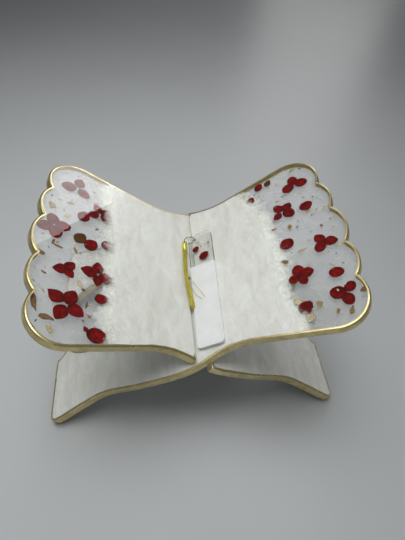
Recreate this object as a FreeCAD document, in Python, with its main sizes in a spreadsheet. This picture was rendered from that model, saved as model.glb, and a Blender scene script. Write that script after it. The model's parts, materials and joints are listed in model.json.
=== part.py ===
import FreeCAD, Part
import Sketcher
import math
import os

# A folding book stand (rehal) cast in epoxy resin, with its matching bookmark.
#
# Two identical boards cross like an X seen from the front.  Each board has a slot as long as half
# its width; board meets board slot to slot, so each passes through the other and swings about the
# crossing line.  One end of a board is a leg with an arch cut out of it, the other a scalloped wing.
# Most of a board is pearl resin; the end of the wing is clear, with pressed petals and gold leaf in
# it, and a gilt band covers the edge all round apart from the slot.
#
# Frame: origin on the ground under the crossing, +X to the right, +Y to the back, +Z up.
# Board coordinates: "along" runs from the foot (negative) through the crossing to the wing tip,
# "across" is the board's width, and the board's mid-plane is at height 0.

vector = FreeCAD.Vector
AXIS_Y = vector(0, 1, 0)
AXIS_Z = vector(0, 0, 1)

# Driving dimensions: name, value in millimetres or degrees, what it is.
SIZES = [
    ("board_thickness", 8.0, "thickness of both cast boards"),
    ("wing_rise", 29.5, "angle of each board above the horizontal when the stand is open"),
    ("slot_play", 0.3, "running clearance of the slots, on each side"),
    ("gilt_width", 2.2, "width of the gilt border seen on the board's face"),
    ("foot_ease", 0.5, "how much of the foot's lower arris is sanded flat"),
    ("leg_length", 146.0, "crossing line to the foot edge"),
    ("foot_half", 94.5, "half the board's width at the foot"),
    ("foot_corner", 6.0, "radius of the foot's outer corner"),
    ("leg_waist_along", 88.0, "crossing line to the leg's narrowest place"),
    ("leg_waist_half", 83.2, "half width at the leg's waist"),
    ("leg_waist_curve", 65.0, "radius of the edge at the leg's waist"),
    ("belly_along", 22.0, "crossing line to the widest place of the middle, on the leg's side"),
    ("belly_half", 87.8, "half width there"),
    ("neck_along", 34.0, "crossing line to the wing's narrowest place"),
    ("neck_half", 77.6, "half width at the neck"),
    ("neck_curve", 70.0, "radius of the edge at the neck"),
    ("corner_lobe_along", 112.0, "centre of the wing's corner lobe, along"),
    ("corner_lobe_across", 65.0, "centre of the wing's corner lobe, across"),
    ("outer_cusp_along", 134.6, "cusp between the corner lobe and the side lobe, along"),
    ("outer_cusp_across", 52.5, "the same, across"),
    ("inner_cusp_along", 136.7, "cusp between the side lobe and the middle lobe, along"),
    ("inner_cusp_across", 19.5, "the same, across"),
    ("side_lobe", 27.2, "radius of the side lobes"),
    ("middle_lobe", 31.4, "radius of the middle lobe"),
    ("arch_along", 109.0, "crossing line to the centre of the leg's arch"),
    ("arch_radius", 36.0, "radius of the horseshoe arch in the leg"),
    ("arch_mouth", 26.0, "half width of the arch's narrow mouth"),
    ("shoulder_along", 142.0, "crossing line to the corner of the arch's shoulder"),
    ("shoulder_half", 35.2, "half width of the opening at that corner"),
    ("foot_inner", 36.0, "half width of the opening at the foot edge"),
    ("clear_along", 78.0, "crossing line to where the clear resin starts"),
    ("clear_wave", 3.0, "how far the border of the clear resin waves each way"),
    ("petal_length", 12.0, "length of a pressed petal"),
    ("petal_width", 9.6, "width of a pressed petal"),
    ("petal_thickness", 0.6, "thickness of a pressed petal"),
    ("petal_reach", 6.6, "flower's centre to a petal's centre"),
    ("petal_level", 1.2, "height of the petals above the board's mid-plane"),
    ("flake_thickness", 0.3, "thickness of a flake of gold leaf"),
    ("flake_level", -1.2, "height of the flakes above the board's mid-plane"),
    ("bookmark_length", 118.0, "length of the bookmark"),
    ("bookmark_width", 23.5, "width of the bookmark"),
    ("bookmark_thickness", 3.0, "thickness of the bookmark"),
    ("bookmark_corner", 3.0, "radius of the bookmark's corners"),
    ("bookmark_clear", 37.0, "length of the bookmark's clear end"),
    ("bookmark_hole", 1.9, "radius of the hole for the ring"),
    ("ring_radius", 5.2, "radius of the wire ring, to the middle of the wire"),
    ("ring_wire", 0.45, "radius of the ring's wire"),
    ("cap_radius", 2.3, "radius of the tassel's cap"),
    ("cap_length", 9.0, "length of the tassel's cap"),
    ("skirt_top", 2.7, "radius of the tassel's threads below the cap"),
    ("skirt_end", 1.9, "radius of the tassel at the tips of its threads"),
    ("skirt_length", 70.0, "length of the tassel's threads"),
    ("thread_loop", 1.8, "radius of the thread loop that ties the cap to the ring"),
    ("thread_radius", 0.4, "radius of that thread"),
]

# Pressed flowers, laid out by hand: along the board, across it towards the back, turn in degrees,
# number of petals of a four-petalled flower, and size against the standard petal.
FLOWERS = {
    "right": [
        (115, 64, 80, 3, 0.85), (99, 36, 40, 4, 0.85), (118, 32, 15, 1, 0.95), (92, -1, 200, 1, 1.0),
        (121, -13, 40, 3, 0.9), (95, -36, 20, 4, 0.8), (121, -44, 350, 1, 1.05),
        (121, -64, 60, 3, 1.0), (91, -65, 30, 1, 0.95), (84, 76, 60, 1, 0.8), (72, 64, 60, 1, 0.75),
    ],
    "left": [
        (113, 63, 30, 3, 1.0), (127, 11, 25, 4, 0.85), (105, 32, 60, 1, 0.8), (92, 43, 35, 4, 0.8),
        (77, 55, 20, 1, 0.7), (101, 6, 100, 2, 0.9), (81, 9, 200, 1, 0.95), (118, -27, 35, 2, 0.85),
        (90, -24, 0, 4, 1.0), (112, -58, 20, 4, 1.05), (86, -46, 120, 1, 0.8), (87, -75, 270, 1, 1.0),
    ],
}

# Flakes of gold leaf, strewn by hand: along, across towards the back, radius, turn in degrees.
FLAKES = {
    "right": [
        (117, 81, 2.4, 10), (118, 26, 1.8, 50), (125, 22, 1.6, 80), (131, 21, 1.5, 30), (99, 16, 1.7, 0),
        (86, 19, 1.6, 70), (106, 11, 1.3, 20), (134, -2, 1.8, 65), (119, 5, 1.3, 15), (105, -13, 2.0, 40),
        (82, -18, 2.1, 85), (103, -26, 1.6, 60), (120, -34, 1.6, 5), (108, -1, 1.5, 35),
        (131, -38, 1.8, 25), (86, -56, 2.2, 50), (103, -63, 2.3, 75), (92, -75, 3.0, 20),
        (129, -70, 2.0, 45), (113, -78, 2.2, 10), (62, 70, 1.5, 30), (93, 78, 1.7, 55),
    ],
    "left": [
        (121, 42, 1.6, 20), (130, 29, 2.6, 70), (119, 26, 1.5, 10), (93, 59, 1.5, 40), (96, 76, 1.8, 60),
        (121, 78, 1.4, 0), (95, 24, 1.4, 50), (128, -7, 2.4, 15), (119, -12, 2.4, 80),
        (111, -6, 2.0, 35), (131, -22, 2.2, 60), (129, -34, 1.3, 25), (103, -38, 2.2, 45),
        (104, -44, 1.5, 5), (130, -63, 2.6, 85), (124, -70, 2.6, 30), (118, -77, 2.4, 65),
        (96, -53, 1.6, 15), (95, -62, 1.4, 75), (103, -80, 1.5, 50),
    ],
}

# The bookmark lies on the right wing beside the crossing, a little askew.
BOOKMARK_ALONG = 14.9
BOOKMARK_ACROSS = -14.0
BOOKMARK_TURN = -2.0
BOOKMARK_LIFT = 1.3
CLEARANCE = 0.3
BOOKMARK_PETALS = [(-5.0, 17.5, 30, 0.52), (2.5, 27.5, 200, 0.8)]
BOOKMARK_FLAKES = [(5.5, 12.0, 1.0, 20), (7.5, 15.0, 1.2, 60), (-6.5, 8.5, 0.8, 40), (0.5, 9.5, 0.8, 80)]
HOLE_INSET = 6.2

SIDES = {"right": 0.0, "left": 180.0}

document = FreeCAD.newDocument("book_stand")
sheet = document.addObject("Spreadsheet::Sheet", "Sizes")
for row, (alias, value, meaning) in enumerate(SIZES, start=1):
    sheet.set("A%d" % row, alias.replace("_", " "))
    sheet.set("B%d" % row, str(value))
    sheet.set("C%d" % row, meaning)
    sheet.setAlias("B%d" % row, alias)
document.recompute()

parts = []


def size(alias):
    """The value of one driving dimension."""
    return float(sheet.get(alias))


def add(type_name, name, **bound):
    """A document object whose named properties are bound to expressions on the sheet."""
    made = document.addObject(type_name, name)
    for prop, expression in bound.items():
        made.setExpression(prop, on_sheet(expression))
    return made


def on_sheet(expression):
    """The expression with each driving dimension's name read from the sheet."""
    words = expression.split(" ")
    known = {alias for alias, value, meaning in SIZES}
    return " ".join("Sizes." + word if word in known else word for word in words)


def keep(made, label, placement=None):
    """Name a finished sub-part and put it in its place."""
    made.Label = label
    if placement is not None:
        made.Placement = placement
    parts.append(made)
    return made


# ---------------------------------------------------------------------------------------------
# Sketch helpers
# ---------------------------------------------------------------------------------------------

START, END, CENTRE = 1, 2, 3
JOIN_TOLERANCE = 0.001


class Chain:
    """Edges joined end to end in a sketch, each remembered with its first and last point."""

    def __init__(self, sketch, side):
        self.sketch = sketch
        self.side = side
        self.edges = []

    def place(self, along, across):
        return vector(along, self.side * across, 0)

    def line(self, start, end):
        self.append(Part.LineSegment(self.place(*start), self.place(*end)), self.place(*start))

    def arc(self, start, end, centre):
        """The arc of less than half a turn from start to end about a centre."""
        first, last, middle = self.place(*start), self.place(*end), self.place(*centre)
        out = (first + last) * 0.5 - middle
        bow = middle + out * ((first - middle).Length / out.Length)
        self.append(Part.Arc(first, bow, last), first)

    def append(self, curve, first):
        index = self.sketch.addGeometry(curve)
        forward = (self.sketch.getPoint(index, START) - first).Length < JOIN_TOLERANCE
        self.edges.append((index, START, END) if forward else (index, END, START))

    def join(self, number, kind):
        """Join an edge of the chain to the next one, "Coincident" or "Tangent"."""
        before, after = self.edges[number], self.edges[number + 1]
        self.sketch.addConstraint(Sketcher.Constraint(kind, before[0], before[2], after[0], after[1]))

    def pin(self, number, where, along=None, across=None):
        """Bind where an edge starts, ends or has its centre; across is given for the back half."""
        index, first, last = self.edges[number]
        position = {"start": first, "end": last, "centre": CENTRE}[where]
        now = self.sketch.getPoint(index, position)
        if along is not None:
            self.bind(Sketcher.Constraint("DistanceX", index, position, now.x), along)
        if across is not None:
            expression = across if self.side > 0 else "-1 * ( " + across + " )"
            self.bind(Sketcher.Constraint("DistanceY", index, position, now.y), expression)

    def radius(self, number, expression):
        index = self.edges[number][0]
        now = self.sketch.Geometry[index].Radius
        self.bind(Sketcher.Constraint("Radius", index, now), expression)

    def bind(self, constraint, expression):
        index = self.sketch.addConstraint(constraint)
        self.sketch.setExpression("Constraints[%d]" % index, on_sheet(expression))


# ---------------------------------------------------------------------------------------------
# The board's outline
# ---------------------------------------------------------------------------------------------


def outline_half(sketch, side):
    """One half of the board's outline, from the top of the leg's arch round to the wing's tip."""
    foot = -size("leg_length")
    corner = size("foot_corner")
    arch = (-size("arch_along"), 0)
    top = (arch[0] + size("arch_radius"), 0)
    mouth = (arch[0] - math.sqrt(size("arch_radius") ** 2 - size("arch_mouth") ** 2), size("arch_mouth"))
    shoulder = (-size("shoulder_along"), size("shoulder_half"))
    inner = (foot, size("foot_inner"))
    outer = (foot, size("foot_half") - corner)
    flare = (foot + corner, size("foot_half"))
    waist = (-size("leg_waist_along"), size("leg_waist_half") + size("leg_waist_curve"))
    belly = (-size("belly_along"), size("belly_half"))
    neck = (size("neck_along"), size("neck_half") + size("neck_curve"))
    lobe = (size("corner_lobe_along"), size("corner_lobe_across"))
    outer_cusp = (size("outer_cusp_along"), size("outer_cusp_across"))
    inner_cusp = (size("inner_cusp_along"), size("inner_cusp_across"))
    middle = (inner_cusp[0] - math.sqrt(size("middle_lobe") ** 2 - inner_cusp[1] ** 2), 0)
    tip = (middle[0] + size("middle_lobe"), 0)
    lobe_radius = math.dist(lobe, outer_cusp)

    # Where tangent edges meet is only roughly known here; the constraints below settle it.
    waist_start = (waist[0] - 0.22 * size("leg_waist_curve"), size("leg_waist_half") + 1.6)
    waist_end = (waist[0] + 0.14 * size("leg_waist_curve"), size("leg_waist_half") + 0.6)
    neck_start = (neck[0] - 0.35 * size("neck_curve"), size("neck_half") + 4.4)
    neck_end = (neck[0] + 0.2 * size("neck_curve"), size("neck_half") + 1.4)
    lobe_start = (lobe[0] - 0.2 * lobe_radius, lobe[1] + 0.98 * lobe_radius)
    side_chord = math.dist(outer_cusp, inner_cusp)
    side_depth = math.sqrt(size("side_lobe") ** 2 - (side_chord / 2) ** 2)
    side_middle = ((outer_cusp[0] + inner_cusp[0]) / 2 - side_depth, (outer_cusp[1] + inner_cusp[1]) / 2)

    chain = Chain(sketch, side)
    chain.arc(top, mouth, arch)
    chain.line(mouth, shoulder)
    chain.line(shoulder, inner)
    chain.line(inner, outer)
    chain.arc(outer, flare, (foot + corner, outer[1]))
    chain.line(flare, waist_start)
    chain.arc(waist_start, waist_end, waist)
    chain.arc(waist_end, belly, (belly[0], belly[1] - 400))
    chain.arc(belly, neck_start, (belly[0], belly[1] - 90))
    chain.arc(neck_start, neck_end, neck)
    chain.line(neck_end, lobe_start)
    chain.arc(lobe_start, outer_cusp, lobe)
    chain.arc(outer_cusp, inner_cusp, side_middle)
    chain.arc(inner_cusp, tip, middle)

    for number in (0, 1, 2, 11, 12):
        chain.join(number, "Coincident")
    for number in (3, 4, 5, 6, 7, 8, 9, 10):
        chain.join(number, "Tangent")

    chain.pin(0, "centre", "-1 * arch_along", "0")
    chain.radius(0, "arch_radius")
    chain.pin(0, "start", None, "0")
    chain.pin(0, "end", None, "arch_mouth")
    chain.pin(1, "end", "-1 * shoulder_along", "shoulder_half")
    chain.pin(2, "end", "-1 * leg_length", "foot_inner")
    sketch.addConstraint(Sketcher.Constraint("Vertical", chain.edges[3][0]))
    chain.radius(4, "foot_corner")
    chain.pin(4, "centre", None, "foot_half - foot_corner")
    chain.pin(6, "centre", "-1 * leg_waist_along", "leg_waist_half + leg_waist_curve")
    chain.radius(6, "leg_waist_curve")
    chain.pin(7, "end", "-1 * belly_along", "belly_half")
    chain.pin(7, "centre", "-1 * belly_along", None)
    chain.pin(9, "centre", "neck_along", "neck_half + neck_curve")
    chain.radius(9, "neck_curve")
    chain.pin(11, "centre", "corner_lobe_along", "corner_lobe_across")
    chain.pin(11, "end", "outer_cusp_along", "outer_cusp_across")
    chain.pin(12, "end", "inner_cusp_along", "inner_cusp_across")
    chain.radius(12, "side_lobe")
    chain.radius(13, "middle_lobe")
    chain.pin(13, "centre", None, "0")
    chain.pin(13, "end", None, "0")


def closed_sketch(name):
    """An empty sketch that lies on the board's underside."""
    sketch = document.addObject("Sketcher::SketchObject", name)
    sketch.setExpression("Placement.Base.z", on_sheet("board_thickness * -0.5"))
    return sketch


def extrusion(name, base):
    """A solid of the board's thickness over a closed outline."""
    made = add("Part::Extrusion", name, LengthFwd="board_thickness")
    made.Base = base
    made.DirMode = "Custom"
    made.Dir = AXIS_Z
    made.Solid = True
    return made


outline = closed_sketch("board_outline")
for side in (1, -1):
    outline_half(outline, side)
document.recompute()

# ---------------------------------------------------------------------------------------------
# Blanks that both boards are cut from, in board coordinates
# ---------------------------------------------------------------------------------------------

BEYOND = 20.0


def border_outline():
    """Closed outline of the clear resin's zone, whose inner border waves gently across the board."""
    sketch = closed_sketch("clear_zone_outline")
    start, reach = size("clear_along"), size("leg_length") + BEYOND
    third = size("foot_half") / 1.5
    stops = [-1.5 * third, -0.5 * third, 0.5 * third, 1.5 * third]
    for number, (low, high) in enumerate(zip(stops, stops[1:])):
        bow = size("clear_wave") * (-1) ** number
        middle = vector(start + bow, (low + high) / 2, 0)
        sketch.addGeometry(Part.Arc(vector(start, low, 0), middle, vector(start, high, 0)))
    corners = [vector(start, stops[-1], 0), vector(reach, stops[-1], 0)]
    corners += [vector(reach, stops[0], 0), vector(start, stops[0], 0)]
    for first, last in zip(corners, corners[1:]):
        sketch.addGeometry(Part.LineSegment(first, last))
    return sketch


board_blank = extrusion("board_blank", outline)

inner_outline = document.addObject("Part::Offset2D", "inner_outline")
inner_outline.Source = outline
inner_outline.Join = "Arc"
inner_outline.setExpression("Value", on_sheet("-1 * gilt_width"))
inner_blank = extrusion("inner_blank", inner_outline)

clear_zone = extrusion("clear_zone", border_outline())

# A board leans at the wing's rise, so the slot that lets the other one through is wider than the
# board is thick.
slot_cutter = add("Part::Box", "slot_cutter",
                  Length="board_thickness / tan( wing_rise * 1deg ) + 2 * slot_play",
                  Width="2 * foot_half", Height="2 * board_thickness")
slot_cutter.setExpression("Placement.Base.x", "-Length / 2")
slot_cutter.setExpression("Placement.Base.y", on_sheet("-1 * slot_play"))
slot_cutter.setExpression("Placement.Base.z", on_sheet("-1 * board_thickness"))

rise = math.radians(size("wing_rise"))
half_thickness = size("board_thickness") / 2
crossing_height = size("leg_length") * math.sin(rise) + half_thickness * math.cos(rise) - size("foot_ease")


def board_placement(side):
    """Puts board coordinates in place; the left board is the right one turned half round."""
    turned = FreeCAD.Rotation(AXIS_Z, SIDES[side]).multiply(FreeCAD.Rotation(AXIS_Y, -size("wing_rise")))
    return FreeCAD.Placement(vector(0, 0, crossing_height), turned)


# The ground, seen from the board: what lies below it is sanded off the foot.
ground_cutter = add("Part::Box", "ground_cutter",
                    Length="leg_length", Width="3 * foot_half", Height="board_thickness")
ground_corner = vector(-1.5 * size("leg_length"), -1.5 * size("foot_half"), -size("board_thickness"))
ground_cutter.Placement = board_placement("right").inverse().multiply(
    FreeCAD.Placement(ground_corner, FreeCAD.Rotation()))


def fused(name, shapes):
    made = document.addObject("Part::MultiFuse", name)
    made.Shapes = shapes
    return made


def boolean(kind, name, base, tool):
    """A Part::Cut or Part::Common of two objects."""
    made = document.addObject("Part::" + kind, name)
    made.Base = base
    made.Tool = tool
    return made


gilt_blank = boolean("Cut", "gilt_blank", board_blank, inner_blank)
gilt_cutters = fused("gilt_cutters", [slot_cutter, ground_cutter])
pearl_cutters = fused("pearl_cutters", [slot_cutter, clear_zone])


def board(side):
    """The three cast or painted pieces of one board."""
    place = board_placement(side)
    pearl = boolean("Cut", side + "_pearl", inner_blank, pearl_cutters)
    keep(pearl, side + "_pearl_board", place)
    clear = boolean("Common", side + "_clear", inner_blank, clear_zone)
    keep(clear, side + "_clear_wing_end", place)
    gilt = boolean("Cut", side + "_gilt", gilt_blank, gilt_cutters)
    keep(gilt, side + "_gilt_edge", place)


# ---------------------------------------------------------------------------------------------
# Pressed flowers and gold leaf
# ---------------------------------------------------------------------------------------------

QUARTER = 90.0
PETALS_OF_WHOLE_FLOWER = 4


def origin_plane(body, role):
    return next(feature for feature in body.Origin.OriginFeatures if feature.Role == role)


def flower(label, petals, scale, placement):
    """Pressed petals spread about one point, or a single petal, as one thin solid."""
    body = document.addObject("PartDesign::Body", label)
    sketch = body.newObject("Sketcher::SketchObject", label + "_petal")
    sketch.AttachmentSupport = (origin_plane(body, "XY_Plane"), [""])
    sketch.MapMode = "FlatFace"
    long_half, wide_half = scale * size("petal_length") / 2, scale * size("petal_width") / 2
    reach = scale * size("petal_reach") if petals > 1 else 0.0
    middle = vector(reach, 0, 0)
    ellipse = Part.Ellipse(middle + vector(long_half, 0, 0), middle + vector(0, wide_half, 0), middle)
    sketch.addGeometry(ellipse)
    pad = body.newObject("PartDesign::Pad", label + "_pad")
    pad.Profile = sketch
    pad.setExpression("Length", on_sheet("petal_thickness"))
    if petals > 1:
        spread = body.newObject("PartDesign::PolarPattern", label + "_spread")
        spread.Originals = [pad]
        spread.Axis = (origin_plane(body, "Z_Axis"), [""])
        whole = petals == PETALS_OF_WHOLE_FLOWER
        spread.Angle = 4 * QUARTER if whole else QUARTER * (petals - 1)
        spread.Occurrences = petals
        body.Tip = spread
    return keep(body, label, placement)


def set_in(place, along, across, level, turn):
    """A placement inside a board or the bookmark, given in its own coordinates."""
    inside = FreeCAD.Placement(vector(along, across, level), FreeCAD.Rotation(AXIS_Z, turn))
    return place.multiply(inside)


def flakes(label, place, rows, level, back):
    """A group of separate flakes of gold leaf, each a thin three-, four- or five-cornered plate."""
    pieces = []
    for number, (along, across, radius, turn) in enumerate(rows):
        flake = add("Part::Prism", "%s_%d" % (label, number + 1), Height="flake_thickness")
        flake.Polygon = 3 + number % 3
        flake.Circumradius = radius
        flake.Placement = set_in(place, along, back * across, level, turn)
        pieces.append(flake)
    group = document.addObject("Part::Compound", label)
    group.Links = pieces
    return keep(group, label)


def inlays(side):
    """Everything set in the clear resin of one wing."""
    place = board_placement(side)
    back = 1 if side == "right" else -1
    for number, (along, across, turn, petals, scale) in enumerate(FLOWERS[side], start=1):
        label = "%s_flower_%d" % (side, number)
        flower(label, petals, scale, set_in(place, along, back * across, size("petal_level"), back * turn))
    flakes(side + "_gold_flakes", place, FLAKES[side], size("flake_level"), back)


# ---------------------------------------------------------------------------------------------
# Bookmark, in coordinates of its own: along its width, along its length, height above its back
# ---------------------------------------------------------------------------------------------


def bookmark_placement():
    """The bookmark on the right wing's face, its ringed end lifted by the ring's wire."""
    face = board_placement("right").multiply(FreeCAD.Placement(
        vector(BOOKMARK_ALONG, BOOKMARK_ACROSS, half_thickness + CLEARANCE + BOOKMARK_LIFT / 2),
        FreeCAD.Rotation(AXIS_Z, BOOKMARK_TURN)))
    tilt = math.degrees(math.atan2(BOOKMARK_LIFT, size("bookmark_length")))
    return face.multiply(FreeCAD.Placement(vector(), FreeCAD.Rotation(vector(1, 0, 0), tilt)))


def bookmark_blank():
    """The rounded rectangle that both lengths of the bookmark are cut from."""
    plate = add("Part::Box", "bookmark_plate", Length="bookmark_width", Width="bookmark_length",
                Height="bookmark_thickness")
    plate.setExpression("Placement.Base.x", "-Length / 2")
    plate.setExpression("Placement.Base.y", "-Width / 2")
    document.recompute()
    rounded = document.addObject("Part::Fillet", "bookmark_rounded")
    rounded.Base = plate
    upright = [number for number, edge in enumerate(plate.Shape.Edges, start=1)
               if abs(edge.tangentAt(edge.FirstParameter).z) > 0.9]
    corner = size("bookmark_corner")
    rounded.Edges = [(number, corner, corner) for number in upright]
    return rounded


def hole_centre():
    """The ring's hole, in the corner of the clear end that is next to the crossing."""
    return vector(-size("bookmark_width") / 2 + HOLE_INSET, size("bookmark_length") / 2 - HOLE_INSET, 0)


def ring_placement():
    """The ring stands across the board's edge: in through the hole, out past the long edge."""
    radius, thickness = size("ring_radius"), size("bookmark_thickness")
    height = radius - 2 * size("ring_wire")
    reach_above = math.sqrt(radius ** 2 - (height - thickness) ** 2)
    reach_below = math.sqrt(radius ** 2 - height ** 2)
    centre = hole_centre() + vector(-(reach_above + reach_below) / 2, 0, height)
    return FreeCAD.Placement(centre, FreeCAD.Rotation(vector(1, 0, 0), 90.0))


def bookmark():
    """The bookmark, its ring and its tassel."""
    place = bookmark_placement()
    blank = bookmark_blank()
    hole = add("Part::Cylinder", "ring_hole", Radius="bookmark_hole", Height="2 * bookmark_thickness")
    hole.Placement.Base = hole_centre() - vector(0, 0, size("bookmark_thickness") / 2)
    clear_end = add("Part::Box", "bookmark_clear_zone", Length="2 * bookmark_width",
                    Width="bookmark_length", Height="3 * bookmark_thickness")
    clear_end.setExpression("Placement.Base.x", "-Length / 2")
    clear_end.setExpression("Placement.Base.y", on_sheet("bookmark_length / 2 - bookmark_clear"))
    clear_end.setExpression("Placement.Base.z", on_sheet("-1 * bookmark_thickness"))
    keep(boolean("Cut", "bookmark_white", blank, clear_end), "bookmark_white_board", place)
    clear_blank = boolean("Common", "bookmark_clear_blank", blank, clear_end)
    keep(boolean("Cut", "bookmark_clear_cut", clear_blank, hole), "bookmark_clear_end", place)

    middle = size("bookmark_thickness") / 2
    top = size("bookmark_length") / 2
    for number, (across, down, turn, scale) in enumerate(BOOKMARK_PETALS, start=1):
        spot = set_in(place, across, top - down, middle, turn)
        flower("bookmark_petal_%d" % number, 1, scale, spot)
    rows = [(across, top - down, radius, turn) for across, down, radius, turn in BOOKMARK_FLAKES]
    flakes("bookmark_gold_flakes", place, rows, middle / 2, 1)

    ring = add("Part::Torus", "ring", Radius1="ring_radius", Radius2="ring_wire")
    keep(ring, "bookmark_ring", place.multiply(ring_placement()))
    tassel(ring.Placement.Base)


# ---------------------------------------------------------------------------------------------
# Tassel: it lies on the left wing beside the crossing, along the stand
# ---------------------------------------------------------------------------------------------

TASSEL_ALONG = 8.3
LOOP_SINK = 0.7
LOOP_GAP = 0.12


def tassel_placement(across, radius):
    """A round piece lying on the left wing, its own axis pointing to the front."""
    level = half_thickness + CLEARANCE + radius
    lying = FreeCAD.Placement(vector(TASSEL_ALONG, -across, level), FreeCAD.Rotation(vector(1, 0, 0), -90.0))
    return board_placement("left").multiply(lying)


def tassel(ring_centre):
    """The tassel's cap, the threads below it and the loop that ties it to the ring."""
    widest = size("skirt_top")
    inside = size("thread_loop") - size("thread_radius") - size("ring_wire") - LOOP_GAP
    cap_top = ring_centre.y - inside - size("thread_loop") - size("thread_radius") + LOOP_SINK
    cap = add("Part::Cylinder", "cap", Radius="cap_radius", Height="cap_length")
    keep(cap, "tassel_cap", tassel_placement(cap_top, widest))
    skirt = add("Part::Cone", "skirt", Radius1="skirt_top", Radius2="skirt_end", Height="skirt_length")
    keep(skirt, "tassel_threads", tassel_placement(cap_top - size("cap_length"), widest))

    out = tassel_placement(ring_centre.y, widest).Base - ring_centre
    out.y = 0
    out.normalize()
    centre = ring_centre + out * size("ring_radius") - AXIS_Y * inside
    along_wire = FreeCAD.Rotation(AXIS_Z, out.cross(AXIS_Y))
    loop = add("Part::Torus", "loop", Radius1="thread_loop", Radius2="thread_radius")
    keep(loop, "tassel_loop", FreeCAD.Placement(centre, along_wire))


# ---------------------------------------------------------------------------------------------
# Build, check and write
# ---------------------------------------------------------------------------------------------


def check():
    """Stop if any object of the document failed or any sub-part's shape is bad."""
    for made in document.Objects:
        assert not {"Invalid", "Error"} & set(made.State), (made.Label, made.State)
    for made in parts:
        shape = made.Shape
        assert not shape.isNull() and shape.isValid() and shape.Solids, made.Label


for side in SIDES:
    board(side)
    inlays(side)
bookmark()
document.recompute()
check()
os.makedirs("parts", exist_ok=True)
for made in parts:
    made.Shape.exportStep("parts/%s.step" % made.Label)
print("%d parts written" % len(parts))
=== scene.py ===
import bisect
import json
import math
import random

import bmesh
import bpy
from mathutils import Euler, Matrix, Vector, noise


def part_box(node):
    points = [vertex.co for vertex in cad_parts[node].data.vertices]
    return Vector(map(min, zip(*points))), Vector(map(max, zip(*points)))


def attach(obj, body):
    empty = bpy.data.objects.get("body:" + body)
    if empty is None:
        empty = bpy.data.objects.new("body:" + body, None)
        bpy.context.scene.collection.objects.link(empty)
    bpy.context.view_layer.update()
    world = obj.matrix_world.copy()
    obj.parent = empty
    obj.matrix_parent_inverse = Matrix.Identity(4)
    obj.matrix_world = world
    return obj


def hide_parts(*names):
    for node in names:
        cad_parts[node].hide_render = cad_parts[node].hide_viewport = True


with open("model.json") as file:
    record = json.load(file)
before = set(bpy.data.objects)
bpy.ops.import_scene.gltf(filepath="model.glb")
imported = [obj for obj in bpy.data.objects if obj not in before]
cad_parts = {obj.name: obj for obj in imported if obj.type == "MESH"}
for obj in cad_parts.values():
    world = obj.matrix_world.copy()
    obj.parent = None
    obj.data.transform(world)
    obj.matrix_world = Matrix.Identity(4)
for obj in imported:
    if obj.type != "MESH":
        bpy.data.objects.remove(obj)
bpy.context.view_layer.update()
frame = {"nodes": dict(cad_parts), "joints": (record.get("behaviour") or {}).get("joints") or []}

MM = 0.001
rng = random.Random(11)

# ---------------------------------------------------------------------------------------------
# Camera
# ---------------------------------------------------------------------------------------------

CAMERA_PLACE = Vector((-36.7, -220.1, 368.2)) * MM
CAMERA_TURN = (38.794, -4.204, -6.549)
CAMERA_LENS = 26.72
CAMERA_SENSOR = 36.0


def place_camera():
    """The camera stands in front of the crossing, a little to its left, and looks down at it."""
    data = bpy.data.cameras.new("camera")
    data.lens = CAMERA_LENS
    data.sensor_width = CAMERA_SENSOR
    data.clip_start = 0.01
    camera = bpy.data.objects.new("camera", data)
    camera.location = CAMERA_PLACE
    camera.rotation_euler = Euler([math.radians(angle) for angle in CAMERA_TURN], "XYZ")
    bpy.context.scene.collection.objects.link(camera)
    bpy.context.scene.camera = camera


place_camera()

# ---------------------------------------------------------------------------------------------
# Where things are, from the frame
# ---------------------------------------------------------------------------------------------

JOINTS = {joint["name"]: joint for joint in frame["joints"]}
CROSSING = Vector(JOINTS["crossing_swing"]["pos_m"])
UP_THE_WING = Vector(JOINTS["bookmark_shift"]["axis"]).normalized()
BODY_OF = {"right": "right_board", "left": "left_board"}

# Across values in the tables are towards the back of the stand. The left board is the right one
# turned half round, so its own across axis points to the front.
BACK = {"right": 1.0, "left": -1.0}


def board_matrix(side):
    """From board coordinates (along to the wing's tip, across, out of the book face) to the frame."""
    across = Vector((0, 1, 0))
    lean = Matrix((UP_THE_WING, across, UP_THE_WING.cross(across))).transposed().to_4x4()
    turn = Matrix.Rotation(0.0 if side == "right" else math.pi, 4, "Z")
    return Matrix.Translation(CROSSING) @ turn @ lean


BOARD = {side: board_matrix(side) for side in BACK}


def node_mesh(node, matrix):
    """A CAD node's mesh in other coordinates, with the corners that shading splits put together."""
    mesh = bmesh.new()
    mesh.from_mesh(frame["nodes"][node].data)
    bmesh.ops.remove_doubles(mesh, verts=mesh.verts, dist=0.001 * MM)
    mesh.transform(matrix.inverted())
    return mesh


def line_round(mesh, level):
    """The closed line round a mesh's flat faces at one level, as points in order."""
    flat = {face for face in mesh.faces if all(abs(v.co.z - level) < 0.01 * MM for v in face.verts)}
    beside = {}
    for edge in mesh.edges:
        if sum(face in flat for face in edge.link_faces) == 1:
            for here, there in (tuple(edge.verts), tuple(reversed(edge.verts))):
                beside.setdefault(here, []).append(there)
    first = next(iter(beside))
    line, last, here = [first], first, beside[first][0]
    while here is not first:
        line.append(here)
        last, here = here, next(v for v in beside[here] if v is not last)
    return [v.co.xy for v in line]


def length_of(line):
    return sum((b - a).length for a, b in zip(line, line[1:]))


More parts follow.
